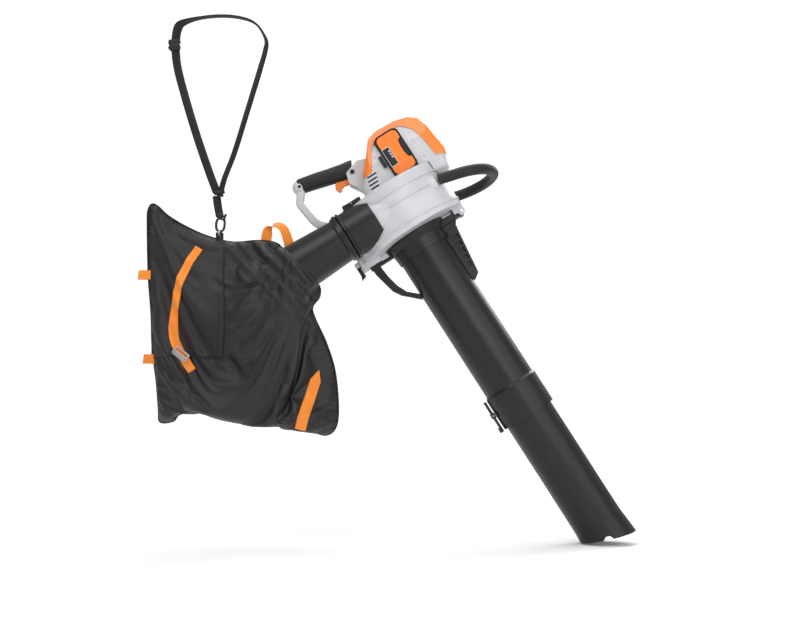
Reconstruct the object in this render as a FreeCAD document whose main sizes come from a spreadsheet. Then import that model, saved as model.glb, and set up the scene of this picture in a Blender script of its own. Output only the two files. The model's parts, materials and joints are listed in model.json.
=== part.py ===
import FreeCAD, Part
import math
import os
import re
import Sketcher

# Leaf vacuum mulcher, hand-held, with its collecting bag and shoulder strap.
# Millimetres. +Z is up and +X points ahead of the user. The origin is the middle of the rear grip.
# The machine frame is the row frame leaned back: its Z runs up the suction tube's axis, which is
# also the fan's axis, its X points ahead, and its origin is on that axis inside the fan housing.

V = FreeCAD.Vector

SIZES = {
    # how the machine hangs
    "machine_lean": 32.5,
    "machine_ahead": 176.4,
    "machine_drop": 98.0,
    # common walls and gaps
    "shell_wall": 3.0,
    "loose_gap": 0.5,
    "shaft_gap": 0.05,
    # fan housing
    "volute_radius": 132.0,
    "volute_top": 66.0,
    "volute_floor": -50.0,
    "outlet_radius": 49.0,
    "outlet_inset": 2.0,
    "outlet_level": 16.0,
    "outlet_rear": "=volute_radius",
    "inlet_radius": 52.0,
    "rib_height": 2.5,
    "rib_width": 4.0,
    "foot_front": 94.0,
    "foot_rear": "=volute_radius + 10",
    "foot_drop": 12.0,
    # suction tube
    "tube_radius": 61.0,
    "tube_wall": 2.5,
    "tube_top": 72.0,
    "socket_radius": "=tube_radius + tube_wall + 1.5",
    "socket_top": 464.0,
    "socket_end": 540.0,
    "nozzle_radius": "=tube_radius - tube_wall - loose_gap",
    "nozzle_end": 868.0,
    "nozzle_insert": 478.0,
    "nozzle_flare": 5.0,
    "nozzle_cut": 19.0,
    "hinge_ahead": 121.0,
    "hinge_drop": 64.0,
    "hinge_pin_radius": 4.0,
    # motor housing
    "dome_rear": 55.0,
    "dome_front": 154.0,
    "dome_height": 187.0,
    "dome_half_width": 72.0,
    "dome_round": 16.0,
    "cover_thickness": 2.5,
    "motor_radius": 27.0,
    "motor_length": 40.0,
    "shaft_radius": 4.0,
    "fan_radius": 104.0,
    # battery
    "battery_ahead": 61.0,
    "battery_level": 121.0,
    "battery_width": 56.0,
    "battery_height": 100.0,
    "battery_depth": 66.0,
    "battery_proud": 8.0,
    # handles
    "grip_rear": 163.0,
    "grip_front": 48.0,
    "grip_rear_level": 185.0,
    "grip_front_level": 153.0,
    "grip_core_radius": 13.0,
    "grip_sleeve_radius": 17.0,
    "loop_tube_radius": 12.5,
    "loop_half_width": 88.0,
    "loop_start": 100.0,
    "loop_straight": 46.0,
    "loop_dip": 15.0,
    "loop_level": 16.0,
    # discharge pipe
    "collar_front": 60.0,
    "collar_length": "=volute_radius - collar_front + 12",
    "collar_radius": 53.0,
    "chute_length": 138.0,
    "chute_end_radius": 57.0,
    "cuff_thickness": 4.6,
    # bag
    "bag_half_depth": 82.0,
    "bag_gap": 0.6,
    "strap_width": 16.0,
    "band_width": 25.0,
    "band_thickness": 3.0,
}

doc = FreeCAD.newDocument("leaf_vacuum_mulcher")
sheet = doc.addObject("Spreadsheet::Sheet", "sizes")
for row, (alias, number) in enumerate(SIZES.items(), 1):
    sheet.set(f"A{row}", alias)
    sheet.set(f"B{row}", str(number))
    sheet.setAlias(f"B{row}", alias)
doc.recompute()

NODES = []


def bound(text):
    """An expression in which every size's name points at its cell."""
    return re.sub(r"[a-z][a-z_]+", lambda word: "sizes." + word.group(0) if word.group(0) in SIZES
                  else word.group(0), str(text))


def value(text):
    """The number that an expression has now."""
    return float(sheet.evalExpression(bound(text)))


def machine_frame():
    base = V(value("machine_ahead"), 0, -value("machine_drop"))
    return FreeCAD.Placement(base, FreeCAD.Rotation(V(0, 1, 0), -value("machine_lean")))


MACHINE = machine_frame()
WORLD = FreeCAD.Placement()


def at(x, y, z, axis=V(0, 1, 0), degrees=0.0):
    """A placement in the machine frame, from expressions for the position."""
    place = FreeCAD.Placement(V(value(x), value(y), value(z)), FreeCAD.Rotation(axis, degrees))
    return MACHINE * place


def node(label, thing, placement=MACHINE):
    """Give a finished sub-part its name and its place; a primitive keeps its own place inside."""
    if thing.TypeId in ("Part::Box", "Part::Cylinder"):
        primitive = thing
        thing = doc.addObject("Part::Compound", "piece")
        thing.Links = [primitive]
    thing.Label = label
    thing.Placement = placement
    NODES.append(thing)
    return thing


def outline(body, name, role, points):
    """A closed sketch whose corners are bound to the sheet."""
    sketch = body.newObject("Sketcher::SketchObject", name)
    plane = [part for part in body.Origin.OriginFeatures if part.Role == role][0]
    sketch.AttachmentSupport = [(plane, "")]
    sketch.MapMode = "FlatFace"
    corners = [V(value(x), value(y), 0) for x, y in points]
    for index, corner in enumerate(corners):
        sketch.addGeometry(Part.LineSegment(corner, corners[(index + 1) % len(corners)]))
    for index in range(len(corners)):
        sketch.addConstraint(Sketcher.Constraint("Coincident", index, 2, (index + 1) % len(corners), 1))
    for index, (x, y) in enumerate(points):
        for kind, text, number in (("DistanceX", x, corners[index].x), ("DistanceY", y, corners[index].y)):
            place = sketch.addConstraint(Sketcher.Constraint(kind, -1, 1, index, 1, number))
            sketch.setExpression(f"Constraints[{place}]", bound(text))
    return sketch


def turned(label, profile, placement=MACHINE):
    """A body of revolution about its own Z, from (radius, height) corners."""
    body = doc.addObject("PartDesign::Body", label + "_body")
    sketch = outline(body, label + "_profile", "XZ_Plane", profile)
    turn = body.newObject("PartDesign::Revolution", label + "_turn")
    turn.Profile = sketch
    turn.ReferenceAxis = (sketch, ["V_Axis"])
    turn.Angle = 360
    return body if placement is None else node(label, body, placement)


def plate(label, points, width, placement=MACHINE, role="XZ_Plane", rounding=None):
    """A body padded both ways from its outline, with its long corners rounded where asked."""
    body = doc.addObject("PartDesign::Body", label + "_body")
    sketch = outline(body, label + "_outline", role, points)
    pad = body.newObject("PartDesign::Pad", label + "_pad")
    pad.Profile = sketch
    pad.Midplane = True
    pad.setExpression("Length", bound(width))
    if rounding is not None:
        doc.recompute()
        soften = body.newObject("PartDesign::Fillet", label + "_rounding")
        edges = [f"Edge{i}" for i, edge in enumerate(pad.Shape.Edges, 1) if along_width(edge, role)]
        soften.Base = (pad, edges)
        soften.setExpression("Radius", bound(rounding))
    return body if placement is None else node(label, body, placement)


def along_width(edge, role):
    ends = edge.Vertexes[0].Point - edge.Vertexes[-1].Point
    across = {"XZ_Plane": (ends.x, ends.z), "XY_Plane": (ends.x, ends.y)}[role]
    return math.hypot(*across) < 0.001


def cylinder(radius, height, x=0, y=0, z=0, axis=V(0, 0, 1)):
    """A cylinder from a point along an axis, with bound sizes."""
    thing = doc.addObject("Part::Cylinder", "cylinder")
    thing.setExpression("Radius", bound(radius))
    thing.setExpression("Height", bound(height))
    thing.Placement = FreeCAD.Placement(V(0, 0, 0), FreeCAD.Rotation(V(0, 0, 1), axis))
    for letter, text in zip("xyz", (x, y, z)):
        thing.setExpression(f".Placement.Base.{letter}", bound(text))
    return thing


def box(length, width, height, x=0, y=0, z=0):
    """A box from its lowest corner, with bound sizes."""
    thing = doc.addObject("Part::Box", "box")
    for name, text in (("Length", length), ("Width", width), ("Height", height)):
        thing.setExpression(name, bound(text))
    for letter, text in zip("xyz", (x, y, z)):
        thing.setExpression(f".Placement.Base.{letter}", bound(text))
    return thing


def fuse(*things):
    result = doc.addObject("Part::MultiFuse", "fuse")
    result.Shapes = list(things)
    return result


def cut(base, *tools):
    """Cut the tools away one after another."""
    for tool in tools:
        result = doc.addObject("Part::Cut", "cut")
        result.Base = base
        result.Tool = tool
        base = result
    return base


def common(base, tool):
    result = doc.addObject("Part::Common", "common")
    result.Base = base
    result.Tool = tool
    return result


def shaped(label, shape, placement=MACHINE):
    """A sub-part, or a tool where no label is given, whose shape is worked out in code."""
    thing = doc.addObject("Part::Feature", label or "shape")
    thing.Shape = shape
    return thing if label is None else node(label, thing, placement)


def rounded_path(points, radii):
    """Straight runs joined by tangent arcs: one radius for each inner point."""
    edges = []
    start = points[0]
    for before, corner, after, radius in zip(points, points[1:], points[2:], radii):
        back = (before - corner).normalize()
        ahead = (after - corner).normalize()
        half = back.getAngle(ahead) / 2
        reach = radius / math.tan(half)
        middle = (back + ahead).normalize() * (radius / math.sin(half))
        first = corner + back * reach
        last = corner + ahead * reach
        edges.append(Part.LineSegment(start, first).toShape())
        edges.append(Part.Arc(first, corner + middle - (middle * 1.0).normalize() * radius, last).toShape())
        start = last
    edges.append(Part.LineSegment(start, points[-1]).toShape())
    return Part.Wire(edges)


def swept(path, section):
    return path.makePipeShell([section], True, True)


def ring(centre, normal, radius):
    return Part.Wire([Part.Circle(centre, normal, radius).toShape()])


def oblong(centre, normal, side, half_side, half_up):
    """A rounded rectangle about a point, as a wire: side is the direction of its first half size."""
    up = normal.cross(side).normalize()
    side = (side * 1.0).normalize()
    corner = min(half_side, half_up) * 0.6
    flat_side = half_side - corner
    flat_up = half_up - corner
    slant = corner * math.sqrt(0.5)
    edges = []
    for a, b in ((1, 1), (-1, 1), (-1, -1), (1, -1)):
        turning = a * b > 0
        at_side = centre + side * (a * half_side) + up * (b * flat_up)
        at_up = centre + side * (a * flat_side) + up * (b * half_up)
        bulge = centre + side * (a * (flat_side + slant)) + up * (b * (flat_up + slant))
        first, last = (at_side, at_up) if turning else (at_up, at_side)
        edges.append(Part.Arc(first, bulge, last).toShape())
    joined = []
    for edge, following in zip(edges, edges[1:] + edges[:1]):
        joined += [edge, Part.LineSegment(edge.Vertexes[-1].Point, following.Vertexes[0].Point).toShape()]
    return Part.Wire(joined)


# Fan housing: a flat drum with its outlet pipe leaving the near side at a tangent, in two shells
# that part on the outlet's own level.
def drum(radius, top, floor, pipe_radius, pipe_rear):
    offset = "-(volute_radius - outlet_radius - outlet_inset)"
    body = cylinder(radius, f"({top}) - ({floor})", z=floor)
    pipe = cylinder(pipe_radius, pipe_rear, x=f"-({pipe_rear})", y=offset, z="outlet_level", axis=V(1, 0, 0))
    return fuse(body, pipe)


def fan_housing():
    outer = [drum("volute_radius", "volute_top", "volute_floor", "outlet_radius", "outlet_rear")]
    for level in ("volute_floor + 14", "outlet_level - rib_width / 2", "outlet_level + 24"):
        outer.append(cylinder("volute_radius + rib_height", "rib_width", z=level))
    for side, level in ((-1, "loop_level"), (1, "loop_level - 20")):
        outer.append(cylinder("loop_tube_radius + 4", "loop_start - 41.5", x=40, y=f"{side} * loop_half_width",
                              z=level, axis=V(1, 0, 0)))
    hollow = drum("volute_radius - shell_wall", "volute_top - shell_wall", "volute_floor + shell_wall",
                  "outlet_radius - shell_wall", "outlet_rear + 1")
    inlet = cylinder("inlet_radius", "shell_wall + 4", z="volute_floor - 2")
    shaft_way = cylinder("shaft_radius + 5", "shell_wall + 4", z="volute_top - shell_wall - 2")
    return cut(fuse(*outer), hollow, inlet, shaft_way)


def half_space(upper):
    level = "outlet_level" if upper else "outlet_level - 400"
    return box(800, 800, 400, x=-400, y=-400, z=level)


def clevis_ears():
    """Two ears under the front of the drum that carry the tube's hinge pin."""
    ears = []
    for low in ("-26", "18"):
        arm = box("26", "8", "hinge_drop + volute_floor + 5", x="hinge_ahead - 18", y=low, z="-hinge_drop")
        eye = cylinder("9", "8", x="hinge_ahead", y=low, z="-hinge_drop", axis=V(0, 1, 0))
        ears += [arm, eye]
    return ears


node("fan_housing_top", common(fan_housing(), half_space(True)))
foot = box("foot_rear - foot_front", "50", "foot_drop + 30", x="-foot_rear", y=-22,
           z="volute_floor - foot_drop")
foot = cut(foot, cylinder("volute_radius - shell_wall", "60", z="volute_floor + shell_wall"))
hinge_way = cylinder("hinge_pin_radius", "58", x="hinge_ahead", y=-29, z="-hinge_drop", axis=V(0, 1, 0))
base_shell = common(fan_housing(), half_space(False))
node("fan_housing_base", cut(fuse(base_shell, foot, *clevis_ears()), hinge_way))
node("hinge_pin", cylinder("hinge_pin_radius", "58", x="hinge_ahead", y=-29, z="-hinge_drop", axis=V(0, 1, 0)))

# Motor and fan, all on the machine frame's Z.
turned("motor", [("shaft_radius + shaft_gap", "volute_top + 0.2"), ("motor_radius", "volute_top + 0.2"),
                 ("motor_radius", "volute_top + motor_length"),
                 ("shaft_radius + shaft_gap", "volute_top + motor_length")])
turned("motor_shaft", [(0, -30), ("shaft_radius", -30), ("shaft_radius", "volute_top + motor_length + 6"),
                       (0, "volute_top + motor_length + 6")])


def fan_wheel():
    """A back plate, a hub and eight straight vanes, bored for the shaft."""
    pieces = [cylinder("fan_radius", "3", z="volute_top - 13"), cylinder("16", "62", z="volute_top - 72")]
    for index in range(8):
        vane = box("fan_radius - 16", "2.5", "44", x="14", y="-1.25", z="volute_top - 56")
        turn = doc.addObject("Part::Feature", "vane")
        doc.recompute()
        turn.Shape = vane.Shape
        turn.Placement = FreeCAD.Placement(V(0, 0, 0), FreeCAD.Rotation(V(0, 0, 1), 45 * index))
        pieces.append(turn)
    return cut(fuse(*pieces), cylinder("shaft_radius", "90", z="-30"))


node("fan_wheel", fan_wheel())
turned("fan_nut", [("shaft_radius", -24), (9, -24), (9, -18.5), ("shaft_radius", -18.5)])
node("shredder_blade", cut(fuse(box("84", "14", "3", x=-42, y=-7, z=-15), cylinder("13", "3", z=-15)),
                           cylinder("shaft_radius", "10", z=-18)))
turned("blade_washer", [("shaft_radius", -18.5), (12, -18.5), (12, -15), ("shaft_radius", -15)])
turned("blade_spacer", [("shaft_radius", -12), (12, -12), (12, "volute_top - 72"),
                        ("shaft_radius", "volute_top - 72")])
turned("shaft_bearing", [("shaft_radius + shaft_gap", "volute_top - shell_wall - 2"),
                         ("shaft_radius + 5", "volute_top - shell_wall - 2"),
                         ("shaft_radius + 5", "volute_top"), ("shaft_radius + shaft_gap", "volute_top")])

# Motor housing: a dome on the drum, a neck behind it and the rear handle, split down the middle.
DOME = [
    ("-dome_rear", 1, "volute_top + 0.2", 1), ("-dome_rear + 10", 1, "volute_top + 26", 0),
    ("-25", 1, "volute_top + 55", 0), ("1", 1, "dome_height - 36", 0), ("27", 1, "dome_height - 5", -1),
    ("48", 0, "dome_height + 2", -1), ("97", 0, "dome_height", -1), ("126", -1, "dome_height - 9", -1),
    ("dome_front - 9", -1, "dome_height - 24", -1), ("dome_front", -1, "dome_height - 47", 0),
    ("dome_front + 8", -1, "volute_top + 10", 0), ("dome_front", -1, "volute_top - 16", 0),
    ("dome_front - 6", -1, "volute_top - 38", 1), ("dome_front - 24", 0, "volute_top - 38", 1),
]


def dome(label, inset):
    """The dome's solid, drawn in from its outline by an inset and rounded to match."""
    points = [(f"{x} + {side} * ({inset})", f"{z} + {up} * ({inset})") for x, side, z, up in DOME]
    body = plate(label, points, f"2 * (dome_half_width - ({inset}))", None, rounding=f"10 - ({inset})")
    doc.recompute()
    long_round = body.Tip
    half = value(f"dome_half_width - ({inset})")
    rims = [f"Edge{i}" for i, edge in enumerate(long_round.Shape.Edges, 1)
            if all(abs(abs(vertex.Point.y) - half) < 0.01 for vertex in edge.Vertexes)]
    soften = body.newObject("PartDesign::Fillet", label + "_rims")
    soften.Base = (long_round, rims)
    soften.setExpression("Radius", bound(f"dome_round - ({inset})"))
    shoulders = plate(label + "_shoulders", [
        (f"-(dome_half_width - ({inset}))", "0"), (f"-(dome_half_width - ({inset}))", "volute_top + 60"),
        (f"-(dome_half_width * 0.72 - ({inset}))", f"dome_height + 12 - ({inset})"),
        (f"dome_half_width * 0.72 - ({inset})", f"dome_height + 12 - ({inset})"),
        (f"dome_half_width - ({inset})", "volute_top + 60"), (f"dome_half_width - ({inset})", "0")],
        "600", None, rounding="14")
    shoulders.Placement = FreeCAD.Placement(V(0, 0, 0), FreeCAD.Rotation(V(0, 0, 1), 90))
    return common(body, shoulders)


GRIP_REAR = V(-value("grip_rear"), 0, value("grip_rear_level"))
GRIP_FRONT = V(-value("grip_front"), 0, value("grip_front_level"))
GRIP_ALONG = (GRIP_FRONT - GRIP_REAR).normalize()
TRIGGER_PIVOT = ("-58", "grip_front_level - 7")


def grip_rod(radius, rear_trim, front_trim):
    start = GRIP_REAR + GRIP_ALONG * rear_trim
    end = GRIP_FRONT - GRIP_ALONG * front_trim
    return Part.makeCylinder(radius, (end - start).Length, start, GRIP_ALONG)


def guard_shape():
    """The lower limb of the D handle, from the grip's rear end down to the drum."""
    wrist = GRIP_REAR + GRIP_ALONG * 4
    heel = V(-value("volute_radius") - 8, 0, value("volute_top") - 12)
    points = [wrist, V(-184, 0, 152), V(-176, 0, 92), heel, V(-value("volute_radius") + 2, 0, heel.z - 3)]
    path = rounded_path(points, [12, 40, 18])
    along = points[1] - points[0]
    return swept(path, oblong(points[0], (along * 1.0).normalize(), V(0, 1, 0), 13, 9))


def neck_block():
    return plate("neck", [("-62", "grip_front_level - 25"), ("-56", "grip_front_level - 1"),
                          ("-20", "grip_front_level + 11"), ("20", "grip_front_level - 3"), ("20", "100"),
                          ("-40", "volute_top + 26")], "50", None, rounding="7")


def casing_solid():
    core = shaped(None, grip_rod(value("grip_core_radius"), 0, -30))
    knuckle = shaped(None, Part.makeSphere(17.5, GRIP_REAR))
    guard = shaped(None, guard_shape())
    shell = cut(dome("dome", "0"), dome("dome_hollow", "shell_wall"))
    return fuse(shell, cut(neck_block(), dome("neck_limit", "shell_wall")), core, knuckle, guard)


def battery_block(grow, low, high):
    """A block of the battery's outline, grown all round, between two depths on the near side."""
    rear = f"battery_ahead - battery_width / 2 - ({grow})"
    front = f"battery_ahead + battery_width / 2 + ({grow})"
    under = f"battery_level - battery_height / 2 - ({grow})"
    over = f"battery_level + battery_height / 2 + ({grow})"
    block = plate("well", [(rear, under), (front, under), (front, over), (rear, over)],
                  f"({high}) - ({low})", None, rounding="9")
    block.setExpression(".Placement.Base.y", bound(f"(({high}) + ({low})) / 2"))
    return block


BATTERY_FACE = "-(dome_half_width + battery_proud)"
BATTERY_BACK = "-(dome_half_width + battery_proud) + battery_depth"
SCREWS = [   # place in the machine frame's XZ plane, and how far out the head's face is
    ("-163", "grip_rear_level", "13"), ("-30", "grip_front_level - 4", "23"),
    ("-34", "volute_top + 12", "dome_half_width - 2"), ("108", "volute_top + 12", "dome_half_width - 2"),
    ("108", "dome_height - 62", "dome_half_width - 2"), ("17", "dome_height - 50", "dome_half_width - 2")]


def screw_set(way_out):
    """The casing's screws, or with a way out in front of their heads the holes that they sit in."""
    pieces = []
    for x, z, face in SCREWS:
        pieces.append(cylinder("4", f"3 + {way_out}", x=x, y=f"-({face}) - {way_out}", z=z, axis=V(0, 1, 0)))
        pieces.append(cylinder("2", "14", x=x, y=f"3 - ({face})", z=z, axis=V(0, 1, 0)))
    return fuse(*pieces)


def casing_tools():
    trigger_slot = box("48", "15", "46", x="-96", y="-7.5", z="grip_front_level - 41")
    pin_way = cylinder("2", "24", x=TRIGGER_PIVOT[0], y=-12, z=TRIGGER_PIVOT[1], axis=V(0, 1, 0))
    button_way = cylinder("5.5", "20", x="-42", y=-30, z="grip_front_level - 6", axis=V(0, 1, 0))
    drum_room = cylinder("volute_radius + rib_height + 0.2", "200", z="volute_top - 199.8")
    vents = [box("24", "40", "3.6", x=f"-34 + {3 * i}", y="-dome_half_width - 10", z=f"volute_top + 12 + {9 * i}")
             for i in range(4)]
    return [trigger_slot, pin_way, button_way, drum_room, *vents, battery_block("loose_gap + 2", "-200", "-20"),
            screw_set("9")]


casing = cut(casing_solid(), *casing_tools())
for side, low in (("near", "-300"), ("far", "0")):
    half = common(casing, box("600", "300", "400", x=-300, y=low, z=-50))
    node(f"casing_{side}", half)
node("casing_screws", screw_set("0"))

band = plate("cover_band", [("-30", "volute_top + 46"), ("-9", "volute_top + 46"), ("23", "dome_height - 23"),
                            ("47", "dome_height - 11"), ("101", "dome_height - 13"),
                            ("dome_front - 31", "dome_height - 38"), ("dome_front - 24", "volute_top + 51"),
                            ("dome_front - 18", "volute_top + 3"), ("dome_front + 20", "volute_top - 9"),
                            ("dome_front + 20", "dome_height + 20"), ("-40", "dome_height + 20")],
             "400", None)
node("top_cover", common(cut(dome("cover_skin", "-cover_thickness"), dome("cover_seat", "0"), neck_block(),
                             battery_block("loose_gap + 2.2", "-200", "-20"),
                             cylinder("volute_radius + rib_height + 0.2", "200", z="volute_top - 199.8")),
                         band))

# Battery, its well and its release.
tray = cut(battery_block("loose_gap + 2", "-dome_half_width + 8", f"{BATTERY_BACK} + 3"),
           battery_block("loose_gap", "-200", f"{BATTERY_BACK} + 1"))
node("battery_well", tray)
node("battery_case", battery_block("0", f"{BATTERY_FACE} + 12", BATTERY_BACK))
node("battery_cap", battery_block("0", BATTERY_FACE, f"{BATTERY_FACE} + 12"))
node("battery_release", box("8", "7", "28", x="battery_ahead - battery_width / 2 - 13",
                            y="-dome_half_width - 7.5", z="battery_level - 17"))
node("control_board", box("66", "4", "84", x="28", y="dome_half_width - 34", z="volute_top + 12"))
node("switch_module", box("18", "14", "14", x="-6", y="-7", z="volute_top + 54"))

# Rear grip, trigger and lock-off button.
sleeve = cut(shaped(None, grip_rod(value("grip_sleeve_radius"), 15, 14)),
             shaped(None, grip_rod(value("grip_core_radius"), 0, 0)),
             box("48", "15", "60", x="-96", y="-7.5", z="grip_front_level - 55"))
node("grip_sleeve", sleeve)
trigger = plate("trigger_blade", [("-52", "grip_front_level - 4"), ("-53", "grip_front_level - 16"),
                                  ("-70", "grip_front_level - 29"), ("-80", "grip_front_level - 34"),
                                  ("-92", "grip_front_level - 28"), ("-84", "grip_front_level - 19"),
                                  ("-80", "grip_front_level - 10"), ("-64", "grip_front_level - 1")],
                "13", None, rounding="2")
node("trigger", cut(trigger, cylinder("2 + shaft_gap", "30", x=TRIGGER_PIVOT[0], y=-15, z=TRIGGER_PIVOT[1],
                                      axis=V(0, 1, 0))))
node("trigger_pin", cylinder("2", "24", x=TRIGGER_PIVOT[0], y=-12, z=TRIGGER_PIVOT[1], axis=V(0, 1, 0)))
node("lock_button", cylinder("5", "14", x="-42", y=-28, z="grip_front_level - 6", axis=V(0, 1, 0)))


# Front loop handle: a U of round tube, dipped forward and lower on its far side.
def loop_handle():
    half = value("loop_half_width")
    reach = value("loop_straight")
    near = [V(0, -half, 0), V(reach, -half, 0)]
    far = [V(reach, half, 0), V(0, half, 0)]
    edges = [Part.LineSegment(*near).toShape(),
             Part.Arc(near[1], V(reach + half, 0, 0), far[0]).toShape(),
             Part.LineSegment(*far).toShape()]
    return swept(Part.Wire(edges), ring(near[0], V(1, 0, 0), value("loop_tube_radius")))


dip = FreeCAD.Rotation(V(0, 1, 0), value("loop_dip")) * FreeCAD.Rotation(V(1, 0, 0), -6.5)
loop_place = FreeCAD.Placement(V(value("loop_start") + 4, 0, value("loop_level") - 10), dip)
loop = loop_handle()
loop.Placement = loop_place
drum_room = Part.makeCylinder(value("volute_radius + rib_height + 1"), 200, V(0, 0, -100))
shaped("loop_handle", loop.cut(drum_room))

# Discharge pipe: a collar over the outlet, its latch, and a widening chute into the bag.
PIPE_SIDE = "-(volute_radius - outlet_radius - outlet_inset)"
collar_place = at("-collar_front", PIPE_SIDE, "outlet_level", degrees=-90)
collar = turned("collar", [
    ("outlet_radius + 0.2", "0"), ("collar_radius", "0"), ("collar_radius", "collar_length - 16"),
    ("collar_radius + 4", "collar_length - 14"), ("collar_radius + 4", "collar_length - 10"),
    ("collar_radius", "collar_length - 8"), ("collar_radius + 4", "collar_length - 6"),
    ("collar_radius + 4", "collar_length"), ("outlet_radius + 0.2", "collar_length")], None)
collar.Placement = MACHINE.inverse() * collar_place
drum_bulk = cylinder("volute_radius + rib_height + 0.3", "volute_top - volute_floor + 0.3", z="volute_floor")
node("outlet_collar", cut(collar, drum_bulk))
chute_place = at("-collar_front - collar_length", PIPE_SIDE, "outlet_level", degrees=-90)
turned("discharge_chute", [
    ("outlet_radius - 2", "0"), ("collar_radius + 1", "0"), ("collar_radius + 1", "5"),
    ("outlet_radius + 1", "9"), ("chute_end_radius", "chute_length"),
    ("chute_end_radius - shell_wall", "chute_length")], chute_place)
LATCH_PIVOT = ("-88", "outlet_level + collar_radius + 5.5")
ears = []
for low in ("-16", "12"):
    ears.append(box("10", "4", "10", x=f"{LATCH_PIVOT[0]} - 5", y=f"{PIPE_SIDE} + ({low})",
                    z=f"{LATCH_PIVOT[1]} - 7"))
pin_way = cylinder("1.5", "32", x=LATCH_PIVOT[0], y=f"{PIPE_SIDE} - 16", z=LATCH_PIVOT[1], axis=V(0, 1, 0))
collar_bulk = cylinder("collar_radius", "60", x="-120", y=PIPE_SIDE, z="outlet_level", axis=V(1, 0, 0))
node("latch_bracket", cut(fuse(*ears), pin_way, collar_bulk))
node("latch_pin", cylinder("1.5", "32", x=LATCH_PIVOT[0], y=f"{PIPE_SIDE} - 16", z=LATCH_PIVOT[1],
                           axis=V(0, 1, 0)))
lever = box("46", "23", "7", x="-110", y=f"{PIPE_SIDE} - 11.5", z=f"{LATCH_PIVOT[1]} - 3")
node("outlet_latch", cut(lever, cylinder("1.5 + shaft_gap", "40", x=LATCH_PIVOT[0], y=f"{PIPE_SIDE} - 20",
                                         z=LATCH_PIVOT[1], axis=V(0, 1, 0))))

# Suction tube. It swings on the hinge pin under the drum, and its nozzle slides out of its socket.
flange = turned("flange", [
    ("inlet_radius", "volute_floor - loose_gap"), ("inlet_radius + 24", "volute_floor - loose_gap"),
    ("inlet_radius + 24", "volute_floor - 7"), ("tube_radius + 6", "volute_floor - 20"),
    ("tube_radius + 3", "-tube_top - 26"), ("tube_radius", "-tube_top - 26"), ("tube_radius", "-tube_top"),
    ("inlet_radius", "-tube_top")], None)
front_arm = box("hinge_ahead - tube_radius", "34", "15", x="tube_radius + 4", y=-17, z="-hinge_drop - 7.5")
front_eye = cylinder("8.5", "34", x="hinge_ahead", y=-17, z="-hinge_drop", axis=V(0, 1, 0))
rear_arm = box("68", "20", "8", x="-126", y=-10, z="volute_floor - foot_drop - 9")
pin_way = cylinder("hinge_pin_radius + shaft_gap", "60", x="hinge_ahead", y=-30, z="-hinge_drop",
                   axis=V(0, 1, 0))
throat = cylinder("tube_radius + 1", "40", z="-tube_top - 30")
arm_limit = cylinder("inlet_radius + 2", "40", z="-tube_top - 5")
arms = cut(fuse(front_arm, front_eye, rear_arm), pin_way, throat, arm_limit)
node("tube_adaptor", fuse(flange, arms))
turned("suction_tube", [
    ("tube_radius - tube_wall", "-tube_top"), ("tube_radius", "-tube_top"),
    ("tube_radius", "-socket_top + 6"), ("socket_radius", "-socket_top"), ("socket_radius", "-socket_end"),
    ("tube_radius - tube_wall", "-socket_end")])
nozzle = turned("nozzle_body", [
    ("nozzle_radius - tube_wall", "-nozzle_insert"), ("nozzle_radius", "-nozzle_insert"),
    ("nozzle_radius", "-nozzle_end + 40"), ("nozzle_radius + nozzle_flare", "-nozzle_end - 30"),
    ("nozzle_radius + nozzle_flare - tube_wall", "-nozzle_end - 30"),
    ("nozzle_radius - tube_wall", "-nozzle_end + 40")], None)
below = Part.makeBox(300, 300, 100, V(-150, -150, -100))
below.Placement = FreeCAD.Placement(V(0, 0, -value("nozzle_end")),
                                    FreeCAD.Rotation(V(0, 1, 0), value("nozzle_cut")))
slant = shaped(None, below)
notch = cylinder("11", "200", x="-8", y=-200, z="-nozzle_end", axis=V(0, 1, 0))
node("nozzle_tube", cut(nozzle, slant, notch))

rail = plate("rail_blade", [
    ("tube_radius - 6", "-tube_top - 14"), ("tube_radius + 34", "-tube_top - 14"),
    ("tube_radius + 32", "-tube_top - 22"), ("tube_radius + 18", "-tube_top - 132"),
    ("tube_radius + 4", "-tube_top - 142"), ("tube_radius - 6", "-tube_top - 138")], "22", None)
windows = [box(f"{20 - 2.2 * i}", "40", "12", x="tube_radius + 5", y=-20, z=f"-tube_top - 42 - {17 * i}")
           for i in range(5)]
rail_seat = cylinder("tube_radius", "200", z="-tube_top - 190")
adaptor_room = cylinder("tube_radius + 6.5", "60", z="-tube_top - 26")
node("tube_rail", cut(rail, rail_seat, adaptor_room, *windows))


def loop_guard():
    """The open loop behind the tube, from the rear arm down to the tube's side."""
    top = value("volute_floor - foot_drop") - 9.8
    side = -value("tube_radius")
    points = [V(-119, 0, top), V(-114, 0, -140), V(-88, 0, -172), V(side + 2, 0, -196)]
    path = rounded_path(points, [40, 24])
    along = (points[1] - points[0]).normalize()
    return swept(path, oblong(points[0], along, V(0, 1, 0), 9, 5.5))


guard = shaped(None, loop_guard())
node("loop_guard", cut(guard, cylinder("tube_radius", "300", z=-350)))

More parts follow.
